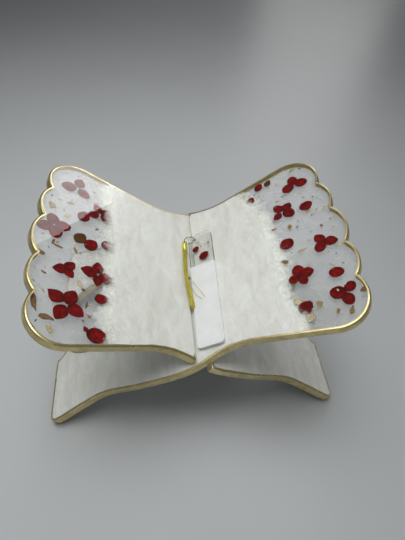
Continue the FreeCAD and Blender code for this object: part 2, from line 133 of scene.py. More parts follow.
def board_edge():
    """The board's outer edge, anticlockwise from one side of its slot to the other, and half its
    thickness. The gilt edge is a band, so its line runs along the outer edge and back inside it."""
    band = node_mesh("right_gilt_edge", BOARD["right"])
    half = max(v.co.z for v in band.verts)
    line = line_round(band, half)
    band.free()
    cuts = [i for i, (a, b) in enumerate(zip(line, line[1:] + line[:1]))
            if a.y > 0 and b.y > 0 and abs(a.x - b.x) < 0.01 * MM and abs(a.x) < 8 * MM]
    first, second = cuts
    runs = (line[first + 1:second + 1], line[second + 1:] + line[:first + 1])
    outer = max(runs, key=length_of)
    return (outer if outer[0].x < outer[-1].x else outer[::-1]), half


def spaced(line, step):
    """The line with points added so that none are further apart than step, and close ones left out."""
    made = [line[0]]
    for point in line[1:]:
        gap = (point - made[-1]).length
        if gap < 0.05 * MM:
            continue
        last, parts = made[-1], math.ceil(gap / step)
        made += [last.lerp(point, part / parts) for part in range(1, parts + 1)]
    return made


EDGE, HALF = board_edge()
EDGE = spaced(EDGE, 2.0 * MM)
SLOT_HALF = abs(EDGE[0].x)
SLOT_FOOT = -0.3 * MM

# ---------------------------------------------------------------------------------------------
# Materials
# ---------------------------------------------------------------------------------------------


class Finish:
    """A node material and short ways to add nodes to it."""

    def __init__(self, name):
        self.material = bpy.data.materials.new(name)
        self.material.use_nodes = True
        self.tree = self.material.node_tree
        self.shader = self.tree.nodes["Principled BSDF"]
        self.output = self.tree.nodes["Material Output"]

    def node(self, kind, **settings):
        """A node with its own settings, such as an operation or a blend type."""
        made = self.tree.nodes.new("ShaderNode" + kind)
        for name, value in settings.items():
            setattr(made, name, value)
        return made

    def feed(self, target, source):
        """Links one socket to another, or sets the target's own value."""
        if isinstance(source, bpy.types.NodeSocket):
            self.tree.links.new(source, target)
        else:
            target.default_value = source
        return target

    def place(self, scale=(1.0, 1.0, 1.0)):
        """The piece's own coordinates, in metres, times a scale for each axis."""
        mapping = self.node("Mapping")
        self.feed(mapping.inputs["Vector"], self.node("TexCoord").outputs["Object"])
        mapping.inputs["Scale"].default_value = scale
        return mapping.outputs["Vector"]

    def noise(self, size, stretch=(1.0, 1.0, 1.0), detail=4.0, roughness=0.55, distortion=0.0):
        """Noise whose features are about size metres across, shorter along the stretched axes."""
        made = self.node("TexNoise")
        self.feed(made.inputs["Vector"], self.place(stretch))
        made.inputs["Scale"].default_value = 1.0 / size
        made.inputs["Detail"].default_value = detail
        made.inputs["Roughness"].default_value = roughness
        made.inputs["Distortion"].default_value = distortion
        return made.outputs["Fac"]

    def ramp(self, source, *stops):
        """A colour or grey for each (position, colour) stop."""
        made = self.node("ValToRGB")
        elements = made.color_ramp.elements
        while len(elements) < len(stops):
            elements.new(0.5)
        for element, (position, colour) in zip(elements, stops):
            element.position = position
            element.color = colour if len(colour) == 4 else (*colour, 1.0)
        self.feed(made.inputs["Fac"], source)
        return made.outputs["Color"]

    def math(self, operation, first, second=0.0):
        made = self.node("Math", operation=operation)
        self.feed(made.inputs[0], first)
        self.feed(made.inputs[1], second)
        return made.outputs["Value"]

    def mix(self, factor, first, second):
        """A mix of two colours."""
        made = self.node("Mix", data_type="RGBA")
        self.feed(made.inputs[0], factor)
        self.feed(made.inputs[6], first)
        self.feed(made.inputs[7], second)
        return made.outputs[2]

    def attribute(self, name):
        made = self.node("Attribute", attribute_name=name)
        return made.outputs

    def bump(self, height, depth, strength=1.0):
        """A normal from a height that runs from 0 to 1 over depth metres."""
        made = self.node("Bump")
        made.inputs["Strength"].default_value = strength
        made.inputs["Distance"].default_value = depth
        self.feed(made.inputs["Height"], height)
        return made.outputs["Normal"]

    def set(self, **values):
        """Sets or links the shader's sockets; an underscore in a name stands for a space."""
        for name, value in values.items():
            if isinstance(value, tuple) and len(value) == 3:
                value = (*value, 1.0)
            self.feed(self.shader.inputs[name.replace("_", " ")], value)
        return self


def grey(value):
    return (value, value, value)


def pearl_resin():
    """White resin with mica stirred in: soft ribbons across the board under a glossy face."""
    f = Finish("pearl_resin")
    ribbons = f.noise(34 * MM, (2.4, 0.9, 1.0), detail=3.0, roughness=0.45, distortion=1.2)
    clouds = f.noise(13 * MM, (1.5, 0.7, 1.0), detail=3.0, roughness=0.5, distortion=0.9)
    silk = f.mix(0.5, f.ramp(ribbons, (0.3, grey(0.0)), (0.7, grey(1.0))),
                 f.ramp(clouds, (0.35, grey(0.0)), (0.7, grey(1.0))))
    milk = f.ramp(silk, (0.0, PEARL_SHADE), (0.55, PEARL_BODY), (1.0, PEARL_LIGHT))
    near_border = f.node("MapRange", interpolation_type="SMOOTHSTEP")
    along = f.node("SeparateXYZ")
    f.feed(along.inputs["Vector"], f.place())
    f.feed(near_border.inputs["Value"], along.outputs["X"])
    near_border.inputs["From Min"].default_value = 30 * MM
    near_border.inputs["From Max"].default_value = 76 * MM
    # White specks of mica, more of them towards the border with the clear resin. They are partly the
    # mica's own white and partly painted glints of its sparkle.
    specks = f.noise(4.5 * MM, (1.0, 0.45, 1.0), detail=5.0, roughness=0.65, distortion=1.2)
    few = f.math("ADD", specks, f.math("MULTIPLY", near_border.outputs["Result"], 0.09))
    mica = f.ramp(few, (0.58, grey(0.0)), (0.80, grey(0.8)))
    colour = f.mix(mica, milk, (*MICA_SPECK_AND_GLINT_WHITE, 1.0))
    height = f.math("ADD", f.math("MULTIPLY", ribbons, 0.7), f.math("MULTIPLY", clouds, 0.3))
    f.set(Base_Color=colour, Roughness=f.ramp(clouds, (0.3, grey(0.42)), (0.7, grey(0.26))),
          Normal=f.bump(height, 2.2 * MM, 0.2), Specular_IOR_Level=0.5, Coat_Weight=0.5,
          Coat_Roughness=0.12, Sheen_Weight=0.1)
    f.shader.inputs["Subsurface Weight"].default_value = 0.12
    f.shader.inputs["Subsurface Radius"].default_value = (4 * MM, 4 * MM, 3.4 * MM)
    f.shader.inputs["Subsurface Scale"].default_value = 1.0
    return f.material


def clear_resin():
    """Clear cast resin. Lamp light passes straight through it, so what lies under it is lit."""
    f = Finish("clear_resin")
    waves = f.noise(26 * MM, detail=2.0)
    f.set(Base_Color=(0.985, 0.99, 0.985), Roughness=0.02, IOR=1.5, Transmission_Weight=1.0,
          Normal=f.bump(waves, 0.5 * MM, 0.25))
    through = f.node("BsdfTransparent")
    through.inputs["Color"].default_value = (0.78, 0.785, 0.78, 1.0)
    mix = f.node("MixShader")
    f.feed(mix.inputs[0], f.node("LightPath").outputs["Is Shadow Ray"])
    f.feed(mix.inputs[1], f.shader.outputs["BSDF"])
    f.feed(mix.inputs[2], through.outputs["BSDF"])
    f.feed(f.output.inputs["Surface"], mix.outputs["Shader"])
    return f.material


def pearl_lace():
    """Wisps of pearl pigment that ran out into the clear resin; they thin out with distance."""
    f = Finish("pearl_lace")
    reach = f.attribute("reach")["Fac"]
    feathers = f.noise(7 * MM, (0.8, 1.5, 1.0), detail=8.0, roughness=0.68, distortion=1.1)
    clumps = f.noise(20 * MM, (1.0, 1.0, 1.0), detail=3.0)
    thick = f.math("ADD", f.math("MULTIPLY", feathers, 1.1), f.math("MULTIPLY", clumps, 0.6))
    left = f.math("SUBTRACT", thick, f.math("MULTIPLY", reach, 0.6))
    alpha = f.ramp(left, (0.34, grey(0.0)), (0.92, grey(0.72)))
    colour = f.ramp(feathers, (0.3, PEARL_SHADE), (0.62, PEARL_LIGHT))
    f.set(Base_Color=colour, Roughness=0.4, Alpha=alpha,
          Normal=f.bump(feathers, 0.5 * MM, 0.25))
    return f.material


def haze():
    """The clear resin's underside was only wiped smooth, so it is faintly milky in soft clouds."""
    f = Finish("milky_underside")
    clouds = f.noise(30 * MM, detail=3.0, distortion=0.6)
    f.set(Base_Color=HAZE_WHITE, Roughness=0.5, Specular_IOR_Level=0.1,
          Alpha=f.ramp(clouds, (0.3, grey(0.16)), (0.7, grey(0.34))))
    return f.material


def gilding(name, light, deep, dark, roughness):
    """Hand-laid gold paint: pale metal with brush drag, darker where it is thin."""
    f = Finish(name)
    drag = f.noise(9 * MM, (1.0, 1.0, 1.0), detail=6.0, roughness=0.6)
    grain = f.noise(0.9 * MM, detail=3.0)
    tone = f.ramp(drag, (0.3, deep), (0.62, light))
    colour = f.mix(f.ramp(grain, (0.55, grey(0.0)), (0.85, grey(0.5))), tone, (*dark, 1.0))
    f.set(Base_Color=colour, Metallic=1.0, Roughness=f.ramp(drag, (0.3, grey(roughness + 0.1)),
                                                          (0.7, grey(roughness - 0.06))),
          Normal=f.bump(grain, 0.15 * MM, 0.35))
    return f.material


def pressed_petal():
    """Dried red petals with veins that fan out from the stalk and a darker heart."""
    f = Finish("pressed_petal")
    split = f.node("SeparateColor")
    f.feed(split.inputs["Color"], f.attribute("petal")["Color"])
    outward, sideways, shade = (split.outputs[name] for name in ("Red", "Green", "Blue"))
    blotch = f.noise(3.5 * MM, detail=4.0)
    fan = f.math("DIVIDE", f.math("SUBTRACT", sideways, 0.5), f.math("ADD", outward, 0.22))
    wander = f.math("ADD", fan, f.math("MULTIPLY", blotch, 0.12))
    veins = f.math("ABSOLUTE", f.math("SINE", f.math("MULTIPLY", wander, 26.0)))
    lines = f.ramp(veins, (0.0, grey(1.0)), (0.22, grey(0.0)))
    fresh = f.mix(f.ramp(blotch, (0.35, grey(0.0)), (0.7, grey(1.0))),
                  (*PETAL_DEEP, 1.0), (*PETAL_RED, 1.0))
    rim = f.ramp(outward, (0.0, grey(0.55)), (0.3, grey(0.05)), (0.86, grey(0.0)), (1.0, grey(0.35)))
    aged = f.mix(rim, fresh, (*PETAL_HEART, 1.0))
    brown = f.mix(f.ramp(shade, (0.45, grey(0.0)), (0.55, grey(1.0))), aged, (*PETAL_BROWN, 1.0))
    colour = f.mix(f.math("MULTIPLY", lines, 0.6), brown, (*PETAL_HEART, 1.0))
    f.set(Base_Color=colour, Roughness=0.6, Specular_IOR_Level=0.05,
          Normal=f.bump(f.math("SUBTRACT", blotch, f.math("MULTIPLY", lines, 0.5)), 0.4 * MM, 0.5))
    return f.material


def gold_leaf():
    """Scraps of metal leaf, some gold and some bronze, creased. The creases are darkened with painted
    shade, and the palest gold is partly painted highlight.
    """
    f = Finish("gold_leaf")
    tint = f.attribute("tint")["Fac"]
    crease = f.noise(1.3 * MM, detail=4.0, distortion=0.6)
    # The palest tint is partly painted highlight, lighter than the leaf's own gold.
    metal = f.ramp(tint, (0.0, LEAF_BRONZE), (0.35, LEAF_COPPER), (0.55, LEAF_GOLD), (1.0, LEAF_PALE_AND_HIGHLIGHT))
    # Painted shade: the leaf is darkened where the crease noise is low, in its creases.
    colour = f.mix(f.ramp(crease, (0.3, grey(0.65)), (0.6, grey(0.0))), metal, (*LEAF_CREASE_SHADE, 1.0))
    f.set(Base_Color=colour, Metallic=0.25, Roughness=0.3, Normal=f.bump(crease, 0.35 * MM, 0.7))
    return f.material


def white_resin():
    """The bookmark's plain white resin, glossy, with a few faint clouds."""
    f = Finish("white_resin")
    clouds = f.noise(14 * MM, detail=4.0)
    f.set(Base_Color=f.ramp(clouds, (0.3, WHITE_SHADE), (0.7, WHITE_BODY)), Roughness=0.2,
          Specular_IOR_Level=0.5, Coat_Weight=0.5, Coat_Roughness=0.05,
          Normal=f.bump(clouds, 0.3 * MM, 0.3))
    return f.material


def thread():
    """Gold tassel thread: smooth rayon whose lustre runs with the strands."""
    f = Finish("gold_thread")
    twist = f.noise(2.2 * MM, (3.0, 0.25, 3.0), detail=3.0)
    colour = f.ramp(twist, (0.3, THREAD_SHADE), (0.7, THREAD_GOLD))
    f.set(Base_Color=colour, Roughness=0.38, Metallic=0.45, Sheen_Weight=0.3,
          Normal=f.bump(twist, 0.1 * MM, 0.4))
    return f.material


def polished_floor():
    f = Finish("pale_floor")
    cloud = f.noise(0.5, detail=3.0)
    f.set(Base_Color=f.ramp(cloud, (0.35, FLOOR_SHADE), (0.65, FLOOR_PALE)), Roughness=0.36,
          Specular_IOR_Level=0.12)
    return f.material


PEARL_LIGHT = (0.88, 0.90, 0.86)
PEARL_BODY = (0.79, 0.80, 0.75)
PEARL_SHADE = (0.68, 0.69, 0.625)
# Partly the mica's own white, partly painted glint.
MICA_SPECK_AND_GLINT_WHITE = (0.95, 0.96, 0.95)
HAZE_WHITE = (0.90, 0.92, 0.92)
GILT_LIGHT = (0.82, 0.70, 0.37)
GILT_DEEP = (0.58, 0.49, 0.24)
GILT_DARK = (0.16, 0.13, 0.06)
PETAL_RED = (0.36, 0.004, 0.003)
PETAL_DEEP = (0.12, 0.0015, 0.0015)
PETAL_HEART = (0.02, 0.001, 0.001)
PETAL_BROWN = (0.13, 0.055, 0.014)
LEAF_BRONZE = (0.12, 0.065, 0.025)
LEAF_COPPER = (0.42, 0.23, 0.08)
LEAF_GOLD = (0.86, 0.66, 0.26)
# Partly pale gold, partly painted highlight.
LEAF_PALE_AND_HIGHLIGHT = (1.0, 0.92, 0.62)
# Painted shade for the leaf's creases.
LEAF_CREASE_SHADE = (0.09, 0.05, 0.02)
WHITE_SHADE = (0.80, 0.82, 0.81)
WHITE_BODY = (0.88, 0.90, 0.89)
THREAD_GOLD = (0.80, 0.70, 0.10)
THREAD_SHADE = (0.30, 0.25, 0.02)
WIRE_GOLD = (0.62, 0.54, 0.20)
WIRE_DEEP = (0.38, 0.31, 0.10)
CAP_GOLD = (0.86, 0.78, 0.12)
CAP_DEEP = (0.50, 0.42, 0.05)
FLOOR_PALE = (0.52, 0.54, 0.55)
FLOOR_SHADE = (0.485, 0.505, 0.515)

PEARL = pearl_resin()
CLEAR = clear_resin()
LACE = pearl_lace()
HAZE = haze()
GILT = gilding("gilt_edge", GILT_LIGHT, GILT_DEEP, GILT_DARK, 0.3)
PETAL = pressed_petal()
LEAF = gold_leaf()
WHITE = white_resin()
WIRE = gilding("ring_wire", WIRE_GOLD, WIRE_DEEP, GILT_DARK, 0.22)
CAP = gilding("tassel_cap", CAP_GOLD, CAP_DEEP, GILT_DARK, 0.2)
THREAD = thread()

# ---------------------------------------------------------------------------------------------
# Pieces
# ---------------------------------------------------------------------------------------------


def add_piece(name, mesh, material, matrix, body, replaced=()):
    """A bmesh becomes a piece that rides on a body, in its own coordinates given by the matrix."""
    data = bpy.data.meshes.new(name)
    bmesh.ops.recalc_face_normals(mesh, faces=mesh.faces)
    mesh.to_mesh(data)
    mesh.free()
    data.materials.append(material)
    piece = bpy.data.objects.new(name, data)
    bpy.context.scene.collection.objects.link(piece)
    piece.matrix_world = matrix
    return settle(piece, body, replaced)


def settle(piece, body, replaced=()):
    """What the piece rides on and stands for."""
    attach(piece, body)
    if replaced:
        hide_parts(*replaced)
    return piece


def smooth(piece):
    for polygon in piece.data.polygons:
        polygon.use_smooth = True


def shade(piece, angle=40.0):
    """Smooth shading except at edges sharper than the angle, led by the large flat faces."""
    smooth(piece)
    piece.data.set_sharp_from_angle(angle=math.radians(angle))
    weighted = piece.modifiers.new("flat_faces_lead", "WEIGHTED_NORMAL")
    weighted.keep_sharp = True


def inward(line, closed):
    """At each point of an anticlockwise line, the step that moves its edge inwards by one unit."""
    steps = []
    for i, here in enumerate(line):
        before = line[i - 1] if closed or i else None
        after = line[(i + 1) % len(line)] if closed or i + 1 < len(line) else None
        sides = []
        for a, b in ((before, here), (here, after)):
            if a is not None and b is not None and (b - a).length > 0:
                run = (b - a).normalized()
                sides.append(Vector((-run.y, run.x)))
        middle = sum(sides, Vector((0, 0))).normalized()
        steps.append(middle / max(middle.dot(sides[0]), LONGEST_MITRE))
    return steps


LONGEST_MITRE = 0.6
EDGE_ROUND = 1.3 * MM
GILT_WIDTH = 2.1 * MM
GILT_IN_SLOT = 6.0 * MM
GILT_WAVE = 0.35 * MM
GILT_WAVE_SIZE = 6 * MM
GILT_WAVE_APART = 9.0
FILM = 0.25 * MM
UNDER_FILM = 0.1 * MM
ROUND_STEPS = 4


def arris(radius, half):
    """(inset, level) down a rounded edge from the top face to the bottom one."""
    turn = [math.pi / 2 * step / ROUND_STEPS for step in range(ROUND_STEPS + 1)]
    top = [(radius * (1 - math.sin(t)), half - radius * (1 - math.cos(t))) for t in turn]
    return top + [(inset, -level) for inset, level in reversed(top)]


def slab(line, keep, half, radius):
    """A board between two flat faces. Its edge is rounded, and where keep is 0 stays upright."""
    steps = inward(line, closed=True)
    mesh = bmesh.new()
    rings = []
    for inset, level in arris(radius, half):
        ring = [mesh.verts.new((*(p + step * inset * share), level))
                for p, step, share in zip(line, steps, keep)]
        rings.append(ring)
    for upper, lower in zip(rings, rings[1:]):
        for i in range(len(line)):
            j = (i + 1) % len(line)
            mesh.faces.new((upper[i], lower[i], lower[j], upper[j]))
    mesh.faces.new(rings[0])
    mesh.faces.new(rings[-1][::-1])
    return mesh


# Where the pearl gives way to the clear resin: (across towards the back, along).
BORDER = {
    "right": [(-96, 84), (-71, 82), (-56, 77), (-39, 76), (-22, 79), (-8, 80), (18, 76),
              (38, 76), (54, 71), (68, 63), (82, 57), (96, 56)],
    "left": [(-96, 73), (-75, 75), (-57, 78), (-38, 76), (-19, 78), (4, 77), (25, 79),
             (48, 82), (66, 80), (82, 84), (96, 86)],
}
BORDER_RIPPLE = 1.1 * MM


def border(side, across):
    """How far along the board the pearl ends, at an across value in board coordinates."""
    back = across * BACK[side] / MM
    points = BORDER[side]
    for (y0, x0), (y1, x1) in zip(points, points[1:]):
        if back <= y1:
            share = (back - y0) / (y1 - y0)
            smooth = share * share * (3 - 2 * share)
            ripple = noise.noise(Vector((across / (5 * MM), BACK[side] * 7.3, 0.4)))
            return (x0 + (x1 - x0) * smooth) * MM + ripple * BORDER_RIPPLE
    return points[-1][1] * MM


def wing_range(side):
    """The part of EDGE beyond the pearl's border, as first and last index."""
    beyond = [i for i, p in enumerate(EDGE) if p.x > 50 * MM and p.x > border(side, p.y)]
    return beyond[0], beyond[-1]


def border_line(side, start, end):
    """Points along the border from the across value start to end, 1 mm apart."""
    count = round(abs(end - start) / (1.0 * MM))
    rows = [start + (end - start) * i / count for i in range(count + 1)]
    return [Vector((border(side, y), y)) for y in rows]


def make_board(side):
    """One board: pearl from foot to wing, clear resin at the wing's end, and the gilt edge."""
    first, last = wing_range(side)
    back_to_front = border_line(side, EDGE[last].y - BORDER_SHORT, EDGE[first].y + BORDER_SHORT)
    half = HALF - UNDER_FILM
    steps = inward(EDGE, closed=False)
    edge = [p + step * UNDER_FILM for p, step in zip(EDGE, steps)]
    wall = SLOT_HALF + UNDER_FILM
    slot = [Vector((wall, y)) for y in spaced_values(EDGE[-1].y - MM, SLOT_FOOT)]
    slot += [Vector((-wall, y)) for y in spaced_values(SLOT_FOOT, EDGE[0].y - MM)]
    pearl = edge[:first] + back_to_front[::-1] + edge[last + 1:] + slot
    pearl_share = [1.0] * first + [0.0] * len(back_to_front)
    pearl_share += [1.0] * (len(edge) - last - 1) + [0.3] * len(slot)
    body = BODY_OF[side]
    made = slab(pearl, pearl_share, half, EDGE_ROUND)
    shade(add_piece(side + "_pearl", made, PEARL, BOARD[side], body,
                    [side + "_pearl_board"]))
    overlap = Vector((-CLEAR_OVERLAP, 0.0))
    clear = edge[first:last + 1] + [p + overlap for p in back_to_front]
    clear_share = [1.0] * (last + 1 - first) + [0.0] * len(back_to_front)
    made = slab(clear, clear_share, half - CLEAR_SINK, EDGE_ROUND)
    shade(add_piece(side + "_clear", made, CLEAR, BOARD[side], body,
                    [side + "_clear_wing_end"]))
    shade(add_piece(side + "_gilt", gilt_band(), GILT, BOARD[side], body,
                    [side + "_gilt_edge"]), 60.0)


# The border stops this far inside the edge, under the gilding.
BORDER_SHORT = 1.0 * MM
CLEAR_OVERLAP = 0.3 * MM
CLEAR_SINK = 0.01 * MM


def spaced_values(start, end, step=2.0 * MM):
    count = max(1, round(abs(end - start) / step))
    return [start + (end - start) * i / count for i in range(count + 1)]


def gilt_width(point, face):
    """How far the gilding laps on to the top face (1) or the bottom one (-1)."""
    at = Vector((point.x / GILT_WAVE_SIZE, point.y / GILT_WAVE_SIZE, face * GILT_WAVE_APART))
    return GILT_WIDTH + noise.noise(at) * GILT_WAVE


def gilt_band():
    """Gold paint round the board's edge, lapped a little unevenly on to both faces."""
    mesh = bmesh.new()
    turned_in = Vector((0.0, GILT_IN_SLOT))
    line = [EDGE[0] - turned_in] + EDGE + [EDGE[-1] - turned_in]
    steps = inward(line, closed=False)
    outer = arris(EDGE_ROUND, HALF)
    inner = [(inset + FILM, level)
             for inset, level in reversed(arris(EDGE_ROUND - FILM, HALF - FILM))]
    rings = []
    for point, step in zip(line, steps):
        top, bottom = gilt_width(point, 1), gilt_width(point, -1)
        ring = [(top, HALF)] + outer + [(bottom, -HALF), (bottom, -HALF + FILM)] + inner
        ring.append((top, HALF - FILM))
        rings.append([mesh.verts.new((*(point + step * inset), level)) for inset, level in ring])
    for a, b in zip(rings, rings[1:]):
        for i in range(len(a)):
            j = (i + 1) % len(a)
            mesh.faces.new((a[i], a[j], b[j], b[i]))
    mesh.faces.new(rings[0])
    mesh.faces.new(rings[-1][::-1])
    sand_feet(mesh)
    return mesh


def sand_feet(mesh):
    """Flattens the foot's lower corner where it stands on the floor."""
    to_board = BOARD["right"].inverted()
    for vert in mesh.verts:
        standing = BOARD["right"] @ vert.co
        if standing.z < 0.0:
            standing.z = 0.0
            vert.co = to_board @ standing


LACE_REACH = 20 * MM
LACE_LEVELS = (3.4, 2.2, 0.9, -0.6, -2.0, -3.3)
LACE_AT_FACE = 0.4
LACE_COLUMNS = 18
LACE_ROWS = 120
LACE_FROM_EDGE = 2 * MM
LACE_ROWS_FROM_EDGE = 2.4 * MM
LACE_UNDER_PEARL = 0.2 * MM
LACE_LIFT = 0.5 * MM
LACE_LIFT_SIZE = 9 * MM


WING_SIDES = {sign: sorted((p.x, p.y) for p in EDGE if p.x > 20 * MM and p.y * sign > 40 * MM)
              for sign in (-1, 1)}


def edge_across(along, sign):
    """How far across the board's edge lies on one side at an along value beyond the slot."""
    run = WING_SIDES[sign]
    return run[min(bisect.bisect_left(run, (along, -1.0)), len(run) - 1)][1]


def make_lace(side):
    """Sheets of pearl wisps at several depths in the clear resin beside the pearl."""
    mesh = bmesh.new()
    reach = mesh.verts.layers.float.new("reach")
    for number, level in enumerate(LACE_LEVELS):
        depth = number / (len(LACE_LEVELS) - 1)
        spread = LACE_REACH * (LACE_AT_FACE + (1.0 - LACE_AT_FACE) * depth)
        grid = []
        for row in range(LACE_ROWS + 1):
            line = []
            for column in range(LACE_COLUMNS + 1):
                share = column / LACE_COLUMNS
                along_guess = border(side, 0.0) + spread * share
                low = edge_across(along_guess, -1) + LACE_ROWS_FROM_EDGE
                high = edge_across(along_guess, 1) - LACE_ROWS_FROM_EDGE
                across = low + (high - low) * row / LACE_ROWS
                along = border(side, across) - LACE_UNDER_PEARL + spread * share
                low_here = edge_across(along, -1) + LACE_FROM_EDGE
                high_here = edge_across(along, 1) - LACE_FROM_EDGE
                across = min(max(across, low_here), high_here)
                at = Vector((along, across, number * 0.01)) / LACE_LIFT_SIZE
                lift = noise.noise(at) * LACE_LIFT
                vert = mesh.verts.new((along, across, level * MM + lift * share))
                vert[reach] = share
                line.append(vert)
            grid.append(line)
        for a, b in zip(grid, grid[1:]):
            for i in range(LACE_COLUMNS):
                mesh.faces.new((a[i], a[i + 1], b[i + 1], b[i]))
    piece = add_piece(side + "_lace", mesh, LACE, BOARD[side], BODY_OF[side])
    piece.visible_shadow = False
    smooth(piece)


HAZE_LEVEL = -3.5 * MM


def make_haze(side):
    """The milky underside of the clear resin, as one thin layer from the pearl to the gilt."""
    first, last = wing_range(side)
    wing = EDGE[first:last + 1]
    steps = inward(wing, closed=False)
    line = [p + step * GILT_WIDTH for p, step in zip(wing, steps)]
    line += border_line(side, line[-1].y, line[0].y)[1:-1]
    mesh = bmesh.new()
    mesh.faces.new([mesh.verts.new((*p, HAZE_LEVEL)) for p in line])
    bmesh.ops.triangulate(mesh, faces=mesh.faces)
    piece = add_piece(side + "_milky_underside", mesh, HAZE, BOARD[side], BODY_OF[side])
    piece.visible_shadow = False


# Each flower's middle, as (along, across towards the back), or None for petals that lie alone.
# Each petal is (along, across, length, how pointed). A lone one also has its
# turn in degrees, and a 1 after that if it is brown.
FLOWER_MIDDLES = {
    "right": [(115, 64), (98, 36), None, None, (121, -12), (94, -36), None, (121, -64), None, None, None],
    "left": [(113, 64), (127, 12), None, (91, 42), None, None, None, (114, -27), (90, -24), (111, -57),
             None, None],
}
PETALS = {
    "right": [
        [(115, 69, 11, 0.1), (108, 60, 12, 0.1), (122.5, 61, 12, 0.1)],
        [(94, 42, 10.5, 0.3), (103, 40, 10, 0.15), (103, 31, 11.5, 0.15), (91, 31, 9, 0.5)],
        [(118, 32, 12, 0.15, 20)],
        [(92, -1, 12.5, 0.1, 200)],
        [(118, -7, 10.5, 0.3), (127, -14, 11, 0.4), (116, -17, 10.5, 0.1)],
        [(94, -30, 11.5, 0.1), (101, -35, 11, 0.1), (88, -38, 9, 0.1), (96, -42, 9, 0.3)],
        [(121, -44, 11.5, 0.25, 350)],
        [(116, -61, 12.5, 0.05), (127, -59, 9.5, 0.1), (122, -70, 10.5, 0.2)],
        [(91, -65, 12, 0.15, 25)],
        [(83, 77.5, 9.5, 0.1, 60), (92.5, 78, 8.5, 0.8, 50, 1)],
        [(72, 64, 9.5, 0.2, 60)],
    ],
    "left": [
        [(121, 62, 13, 0.3), (111, 72, 12, 0.7), (106, 58, 12, 0.3)],
        [(135, 9, 12, 0.2), (129, 19, 11.5, 0.1), (119, 14, 12, 0.3), (125, 4, 12, 0.2)],
        [(105, 32, 12, 0.15, 120)],
        [(98, 38, 11, 0.6), (94, 48, 10, 0.6), (85, 45, 11, 0.6), (85, 37, 11, 0.4)],
        [(77, 54, 10.5, 0.3, 120)],
        [(106, 7, 12, 0.3, 120, 1), (97, 3, 12.5, 0.2, 130)],
        [(82, 8, 13, 0.6, 165)],
        [(119, -28, 11, 0.7), (111, -23, 10, 0.5), (111, -31, 9.5, 0.5)],
        [(98, -23, 13, 0.8), (90, -17, 11, 0.4), (82, -27, 12, 0.5), (90, -32, 10, 0.8)],
        [(120, -51, 14, 0.9), (108, -50, 13, 0.4), (115, -66, 13, 0.6), (103, -62, 13, 0.5)],
        [(86, -46, 11, 0.7, 160)],
        [(88, -77, 14, 0.2, 175), (96, -74, 5, 0.8, 60)],
    ],
}
PETAL_WIDTH = 0.88
PETAL_GROWTH = 1.02
PETALS_DRAWN_IN = 0.86
PETAL_LEVEL = 1.2 * MM
PETAL_SPREAD = 0.5 * MM
PETAL_THICK = 0.16 * MM
PETAL_ALONG = 14
PETAL_ACROSS = 10
PETAL_LEAN = (0.07, 0.09)
PETAL_RAGGED = 0.06
PETAL_CUP = 0.45 * MM
PETAL_CRINKLE = 0.30 * MM
PETAL_CRINKLE_SIZE = (3 * MM, 2.2 * MM)


def petal_half_width(share, point):
    """Half the width at a share of the petal's length, for a tip from round (0) to sharp (1)."""
    round_one = math.sqrt(max(0.0, 1.0 - (2.0 * share - 1.0) ** 2))
    sharp_one = math.sin(math.pi * share ** 0.85) * (1.0 - 0.25 * share)
    return round_one * (1.0 - point) + sharp_one * point


def add_petal(mesh, layer, middle, turn, length, point, brown, level):
    """A cupped, slightly crinkled petal as a thin shell, drawn about its own middle."""
    at = Matrix.Translation((*middle, level)) @ Matrix.Rotation(turn, 4, "Z")
    seed = rng.uniform(0, 50)
    lean_y = Matrix.Rotation(rng.uniform(-PETAL_LEAN[0], PETAL_LEAN[0]), 4, "Y")
    lean = lean_y @ Matrix.Rotation(rng.uniform(-PETAL_LEAN[1], PETAL_LEAN[1]), 4, "X")
    ripple_x, ripple_y = PETAL_CRINKLE_SIZE
    for side in (1, -1):
        grid = []
        for i in range(PETAL_ALONG + 1):
            share = 0.5 - 0.5 * math.cos(math.pi * i / PETAL_ALONG)
            half = petal_half_width(share, point) * length * PETAL_WIDTH / 2
            line = []
            for j in range(PETAL_ACROSS + 1):
                v = 2.0 * j / PETAL_ACROSS - 1.0
                x, y = (share - 0.5) * length, v * half
                ragged = 1.0 + PETAL_RAGGED * noise.noise(Vector((share * 3, v * 2, seed)))
                cup = PETAL_CUP * ((y / (length / 2)) ** 2 + (2 * share - 1) ** 2)
                crinkle = PETAL_CRINKLE * noise.noise(Vector((x / ripple_x, y / ripple_y, seed)))
                edge = max(abs(v), abs(2 * share - 1))
                thick = PETAL_THICK * (1 - edge ** 4) * side
                vert = mesh.verts.new(at @ lean @ Vector((x * ragged, y * ragged, cup + crinkle + thick)))
                vert[layer] = (share, j / PETAL_ACROSS, float(brown), 1.0)
                line.append(vert)
            grid.append(line)
        for a, b in zip(grid, grid[1:]):
            for i in range(PETAL_ACROSS):
                corners = (a[i], b[i], b[i + 1], a[i + 1])
                mesh.faces.new(corners if side == 1 else corners[::-1])


def make_flowers(side):
    for number, petals in enumerate(PETALS[side]):
        name = "%s_flower_%d" % (side, number + 1)
        mesh = bmesh.new()
        layer = mesh.verts.layers.float_color.new("petal")
        middle = FLOWER_MIDDLES[side][number]
        for order, (along, across, length, point, *rest) in enumerate(petals):
            place = Vector((along, across * BACK[side])) * MM
            if middle is None:
                turn = math.radians(rest[0]) * BACK[side]
            else:
                heart = Vector((middle[0], middle[1] * BACK[side])) * MM
                away = place - heart
                turn = math.atan2(away.y, away.x)
                place = heart + away * PETALS_DRAWN_IN
            brown = rest[1] if len(rest) > 1 else 0
            level = PETAL_LEVEL + PETAL_SPREAD * (order - len(petals) / 2)
            add_petal(mesh, layer, place, turn, length * PETAL_GROWTH * MM, point, brown, level)
        bmesh.ops.remove_doubles(mesh, verts=mesh.verts, dist=0.02 * MM)
        bmesh.ops.dissolve_degenerate(mesh, edges=mesh.edges, dist=0.01 * MM)
        piece = add_piece(side + "_petals_%d" % (number + 1), mesh, PETAL, BOARD[side],
                          BODY_OF[side], [name])
        smooth(piece)
